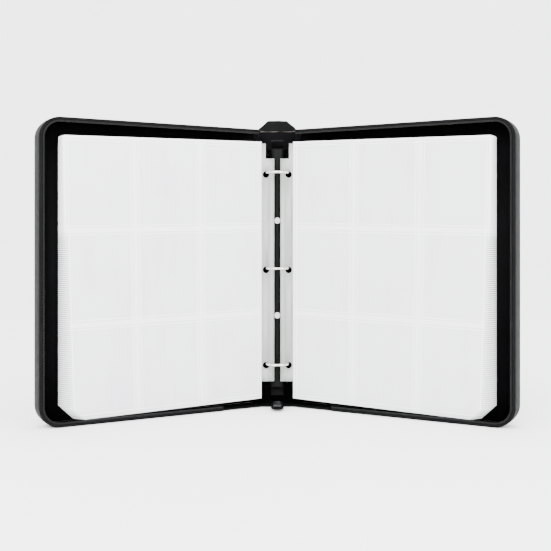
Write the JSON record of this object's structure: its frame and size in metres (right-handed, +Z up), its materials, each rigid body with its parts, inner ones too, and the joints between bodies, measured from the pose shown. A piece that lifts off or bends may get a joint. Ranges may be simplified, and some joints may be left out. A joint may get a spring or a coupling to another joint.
{
  "type": "coin album",
  "caption": "Black zip-around ring album for coins, standing open in a V: padded covers, a three-ring spine and clear pocket leaves.",
  "frame": {"origin": "on the ground, in the middle of the lower edge of the spine's stiffener board", "axes": "+X from the left cover to the right one, +Y from the opening towards the spine's outside, +Z up along the spine"},
  "size_m": [0.497, 0.1422, 0.3254],
  "materials": {
    "cover_cloth": "fine woven black synthetic cloth, dull",
    "stiffener": "plain grey board, hidden",
    "lining": "smooth dark lining, dull",
    "zip_tape": "fine woven tape",
    "zip_coil": "spiral nylon coil, slight sheen",
    "rail": "black, semi-gloss",
    "plain_steel": "plated, plain",
    "ring_wire": "nickel-plated, bright",
    "lever": "black, semi-gloss",
    "zip_metal": "dark plated, semi-gloss",
    "leaf_film": "clear flexible film, slightly milky, glossy"
  },
  "bodies": {
    "spine": {"spine_skin": "cover_cloth", "spine_board": "stiffener", "spine_lining": "lining", "left_fold": "cover_cloth", "right_fold": "cover_cloth", "head_gusset": "cover_cloth", "foot_gusset": "cover_cloth", "ring_rail": "rail", "rail_rivets": "plain_steel", "lever_pins": "plain_steel", "left_strip_1": "leaf_film", "left_strip_2": "leaf_film", "left_strip_3": "leaf_film", "left_strip_4": "leaf_film", "left_strip_5": "leaf_film", "left_strip_6": "leaf_film", "right_strip_1": "leaf_film", "right_strip_2": "leaf_film", "right_strip_3": "leaf_film", "right_strip_4": "leaf_film", "right_strip_5": "leaf_film", "right_strip_6": "leaf_film"},
    "right_cover": {"right_cover_skin": "cover_cloth", "right_cover_board": "stiffener", "right_cover_lining": "lining", "right_zip_wall": "cover_cloth", "right_zip_tape": "zip_tape", "right_zip_coil": "zip_coil"},
    "left_cover": {"left_cover_skin": "cover_cloth", "left_cover_board": "stiffener", "left_cover_lining": "lining", "left_zip_wall": "cover_cloth", "left_zip_tape": "zip_tape", "left_zip_coil": "zip_coil"},
    "right_jaw": {"right_blade": "plain_steel", "right_ring_bottom": "ring_wire", "right_ring_middle": "ring_wire", "right_ring_top": "ring_wire"},
    "left_jaw": {"left_blade": "plain_steel", "left_ring_bottom": "ring_wire", "left_ring_middle": "ring_wire", "left_ring_top": "ring_wire"},
    "head_lever": {"head_lever": "lever"},
    "foot_lever": {"foot_lever": "lever"},
    "zip_slider": {"zip_slider": "zip_metal"},
    "zip_pull": {"zip_pull": "zip_metal"},
    "right_leaf_1": {"right_leaf_1": "leaf_film"},
    "right_leaf_2": {"right_leaf_2": "leaf_film"},
    "right_leaf_3": {"right_leaf_3": "leaf_film"},
    "right_leaf_4": {"right_leaf_4": "leaf_film"},
    "right_leaf_5": {"right_leaf_5": "leaf_film"},
    "right_leaf_6": {"right_leaf_6": "leaf_film"},
    "left_leaf_1": {"left_leaf_1": "leaf_film"},
    "left_leaf_2": {"left_leaf_2": "leaf_film"},
    "left_leaf_3": {"left_leaf_3": "leaf_film"},
    "left_leaf_4": {"left_leaf_4": "leaf_film"},
    "left_leaf_5": {"left_leaf_5": "leaf_film"},
    "left_leaf_6": {"left_leaf_6": "leaf_film"}
  },
  "joints": [
    {"name": "right_cover_fold", "type": "hinge", "parent": "spine", "child": "right_cover", "pos_m": [0.025, 0.0001, 0], "axis": [0, 0, 1], "range_deg": [-62, 21]},
    {"name": "left_cover_fold", "type": "hinge", "parent": "spine", "child": "left_cover", "pos_m": [-0.025, 0.0001, 0], "axis": [0, 0, -1], "range_deg": [-62, 21]},
    {"name": "right_jaw_turn", "type": "hinge", "parent": "spine", "child": "right_jaw", "pos_m": [0.0095, -0.0041, 0], "axis": [0, 0, 1], "range_deg": [0, 7]},
    {"name": "left_jaw_turn", "type": "hinge", "parent": "spine", "child": "left_jaw", "pos_m": [-0.0095, -0.0041, 0], "axis": [0, 0, -1], "range_deg": [0, 7]},
    {"name": "head_lever_turn", "type": "hinge", "parent": "spine", "child": "head_lever", "pos_m": [0, -0.0052, 0.2855], "axis": [-1, 0, 0], "range_deg": [0, 14]},
    {"name": "foot_lever_turn", "type": "hinge", "parent": "spine", "child": "foot_lever", "pos_m": [0, -0.0052, 0.0275], "axis": [1, 0, 0], "range_deg": [0, 14]},
    {"name": "zip_slider_slide", "type": "slide", "parent": "spine", "child": "zip_slider", "axis": [0, 1, 0], "range_m": [0, 0.01]},
    {"name": "zip_pull_turn", "type": "hinge", "parent": "zip_slider", "child": "zip_pull", "pos_m": [0, -0.036, 0.0082], "axis": [-1, 0, 0], "range_deg": [0, 80]},
    {"name": "right_leaf_1_turn", "type": "hinge", "parent": "spine", "child": "right_leaf_1", "pos_m": [0.02084, -0.01595, 0], "axis": [0, 0, 1], "range_deg": [-63.94, 21.66]},
    {"name": "right_leaf_2_turn", "type": "hinge", "parent": "spine", "child": "right_leaf_2", "pos_m": [0.0203, -0.01651, 0], "axis": [0, 0, 1], "range_deg": [-63.94, 21.66]},
    {"name": "right_leaf_3_turn", "type": "hinge", "parent": "spine", "child": "right_leaf_3", "pos_m": [0.01972, -0.01707, 0], "axis": [0, 0, 1], "range_deg": [-63.94, 21.66]},
    {"name": "right_leaf_4_turn", "type": "hinge", "parent": "spine", "child": "right_leaf_4", "pos_m": [0.0191, -0.01763, 0], "axis": [0, 0, 1], "range_deg": [-63.94, 21.66]},
    {"name": "right_leaf_5_turn", "type": "hinge", "parent": "spine", "child": "right_leaf_5", "pos_m": [0.01846, -0.01819, 0], "axis": [0, 0, 1], "range_deg": [-63.94, 21.66]},
    {"name": "right_leaf_6_turn", "type": "hinge", "parent": "right_leaf_5", "child": "right_leaf_6", "pos_m": [0.01778, -0.01874, 0], "axis": [0, 0, -1], "range_deg": [0, 80]},
    {"name": "left_leaf_1_turn", "type": "hinge", "parent": "spine", "child": "left_leaf_1", "pos_m": [-0.02084, -0.01595, 0], "axis": [0, 0, -1], "range_deg": [-63.94, 21.66]},
    {"name": "left_leaf_2_turn", "type": "hinge", "parent": "spine", "child": "left_leaf_2", "pos_m": [-0.0203, -0.01651, 0], "axis": [0, 0, -1], "range_deg": [-63.94, 21.66]},
    {"name": "left_leaf_3_turn", "type": "hinge", "parent": "spine", "child": "left_leaf_3", "pos_m": [-0.01972, -0.01707, 0], "axis": [0, 0, -1], "range_deg": [-63.94, 21.66]},
    {"name": "left_leaf_4_turn", "type": "hinge", "parent": "spine", "child": "left_leaf_4", "pos_m": [-0.0191, -0.01763, 0], "axis": [0, 0, -1], "range_deg": [-63.94, 21.66]},
    {"name": "left_leaf_5_turn", "type": "hinge", "parent": "spine", "child": "left_leaf_5", "pos_m": [-0.01846, -0.01819, 0], "axis": [0, 0, -1], "range_deg": [-63.94, 21.66]},
    {"name": "left_leaf_6_turn", "type": "hinge", "parent": "left_leaf_5", "child": "left_leaf_6", "pos_m": [-0.01778, -0.01874, 0], "axis": [0, 0, 1], "range_deg": [0, 40]}
  ],
  "couplings": [
    {"joint": "right_leaf_1_turn", "follows": "right_cover_fold", "ratio": 1.031},
    {"joint": "right_leaf_2_turn", "follows": "right_cover_fold", "ratio": 1.031},
    {"joint": "right_leaf_3_turn", "follows": "right_cover_fold", "ratio": 1.031},
    {"joint": "right_leaf_4_turn", "follows": "right_cover_fold", "ratio": 1.031},
    {"joint": "right_leaf_5_turn", "follows": "right_cover_fold", "ratio": 1.031},
    {"joint": "left_leaf_1_turn", "follows": "left_cover_fold", "ratio": 1.031},
    {"joint": "left_leaf_2_turn", "follows": "left_cover_fold", "ratio": 1.031},
    {"joint": "left_leaf_3_turn", "follows": "left_cover_fold", "ratio": 1.031},
    {"joint": "left_leaf_4_turn", "follows": "left_cover_fold", "ratio": 1.031},
    {"joint": "left_leaf_5_turn", "follows": "left_cover_fold", "ratio": 1.031},
    {"joint": "left_jaw_turn", "follows": "right_jaw_turn", "ratio": 1},
    {"joint": "head_lever_turn", "follows": "right_jaw_turn", "ratio": 2},
    {"joint": "foot_lever_turn", "follows": "right_jaw_turn", "ratio": 2}
  ]
}
